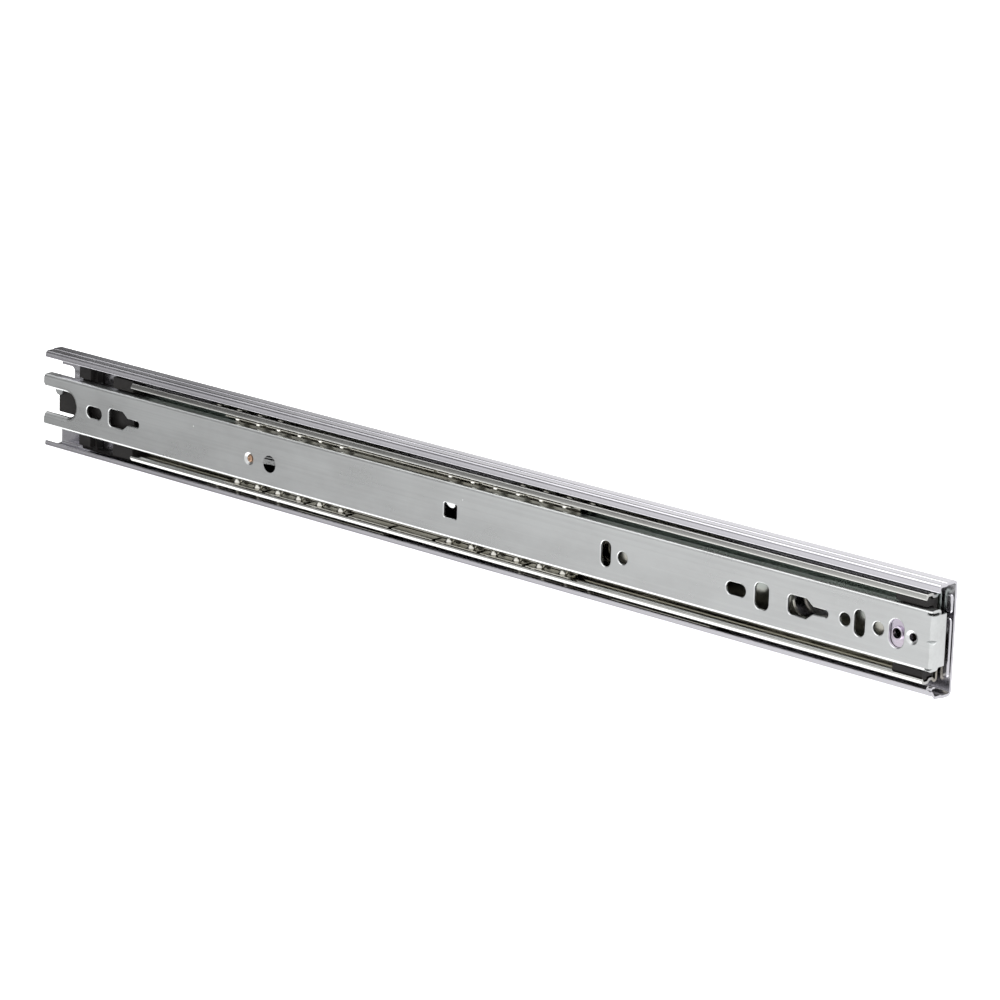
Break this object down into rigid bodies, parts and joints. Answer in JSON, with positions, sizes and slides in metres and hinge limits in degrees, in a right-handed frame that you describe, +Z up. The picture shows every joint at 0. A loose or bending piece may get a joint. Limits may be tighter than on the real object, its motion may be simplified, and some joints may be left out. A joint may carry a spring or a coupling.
{
  "type": "cabinet drawer slide",
  "caption": "Full-extension three-member ball-bearing drawer slide in bright zinc-plated steel, closed, with ball retainers, bumpers and a row of mounting slots.",
  "frame": {"origin": "on the cabinet member's flat mounting face, at the middle of the slide's length and height", "axes": "+X along the slide towards its front, the way the drawer opens; +Y out of the mounting face into the cabinet side; +Z up"},
  "size_m": [0.508, 0.0127, 0.0456],
  "materials": {
    "zinc_steel": "bright zinc plate over cold-rolled steel, satin with fine rolling lines",
    "zinc_steel_inside": "bright zinc plate, slightly warm, with a film of clear grease",
    "zinc_steel_face": "bright zinc plate over cold-rolled steel, satin face",
    "retainer_steel": "thin zinc-plated strip",
    "clear_zinc": "clear passivated zinc with a faint lilac tint",
    "ball_steel": "polished bearing balls, lightly greased",
    "copper_rivet": "dull copper-coloured rivet head",
    "black_plastic": "moulded black acetal"
  },
  "bodies": {
    "cabinet_side": {"outer_member": "zinc_steel", "rear_bumper": "black_plastic"},
    "intermediate": {"intermediate_member": "zinc_steel_inside", "front_guide_top": "black_plastic", "front_guide_bottom": "black_plastic"},
    "drawer_side": {"inner_member": "zinc_steel_face", "stop_rivet": "copper_rivet", "adjuster_plate": "clear_zinc"},
    "outer_retainer_rear": {"outer_ball_retainer_rear": "retainer_steel", "outer_rear_ball_top_01": "ball_steel", "outer_rear_ball_top_02": "ball_steel", "outer_rear_ball_top_03": "ball_steel", "outer_rear_ball_top_04": "ball_steel", "outer_rear_ball_bottom_01": "ball_steel", "outer_rear_ball_bottom_02": "ball_steel", "outer_rear_ball_bottom_03": "ball_steel", "outer_rear_ball_bottom_04": "ball_steel"},
    "outer_retainer_front": {"outer_ball_retainer_front": "retainer_steel", "outer_front_ball_top_01": "ball_steel", "outer_front_ball_top_02": "ball_steel", "outer_front_ball_top_03": "ball_steel", "outer_front_ball_top_04": "ball_steel", "outer_front_ball_bottom_01": "ball_steel", "outer_front_ball_bottom_02": "ball_steel", "outer_front_ball_bottom_03": "ball_steel", "outer_front_ball_bottom_04": "ball_steel"},
    "inner_retainer": {"inner_ball_retainer": "retainer_steel", "inner_ball_top_01": "ball_steel", "inner_ball_top_02": "ball_steel", "inner_ball_top_03": "ball_steel", "inner_ball_top_04": "ball_steel", "inner_ball_top_05": "ball_steel", "inner_ball_top_06": "ball_steel", "inner_ball_top_07": "ball_steel", "inner_ball_top_08": "ball_steel", "inner_ball_top_09": "ball_steel", "inner_ball_top_10": "ball_steel", "inner_ball_top_11": "ball_steel", "inner_ball_top_12": "ball_steel", "inner_ball_bottom_01": "ball_steel", "inner_ball_bottom_02": "ball_steel", "inner_ball_bottom_03": "ball_steel", "inner_ball_bottom_04": "ball_steel", "inner_ball_bottom_05": "ball_steel", "inner_ball_bottom_06": "ball_steel", "inner_ball_bottom_07": "ball_steel", "inner_ball_bottom_08": "ball_steel", "inner_ball_bottom_09": "ball_steel", "inner_ball_bottom_10": "ball_steel", "inner_ball_bottom_11": "ball_steel", "inner_ball_bottom_12": "ball_steel"}
  },
  "joints": [
    {"name": "intermediate_travel", "type": "slide", "parent": "cabinet_side", "child": "intermediate", "axis": [1, 0, 0], "range_m": [0, 0.204]},
    {"name": "drawer_travel", "type": "slide", "parent": "intermediate", "child": "drawer_side", "axis": [1, 0, 0], "range_m": [0, 0.304]},
    {"name": "outer_retainer_rear_travel", "type": "slide", "parent": "cabinet_side", "child": "outer_retainer_rear", "axis": [1, 0, 0], "range_m": [0, 0.102]},
    {"name": "outer_retainer_front_travel", "type": "slide", "parent": "cabinet_side", "child": "outer_retainer_front", "axis": [1, 0, 0], "range_m": [0, 0.102]},
    {"name": "inner_retainer_travel", "type": "slide", "parent": "intermediate", "child": "inner_retainer", "axis": [1, 0, 0], "range_m": [0, 0.152]}
  ],
  "couplings": [
    {"joint": "outer_retainer_rear_travel", "follows": "intermediate_travel", "ratio": 0.5},
    {"joint": "outer_retainer_front_travel", "follows": "intermediate_travel", "ratio": 0.5},
    {"joint": "inner_retainer_travel", "follows": "drawer_travel", "ratio": 0.5}
  ]
}
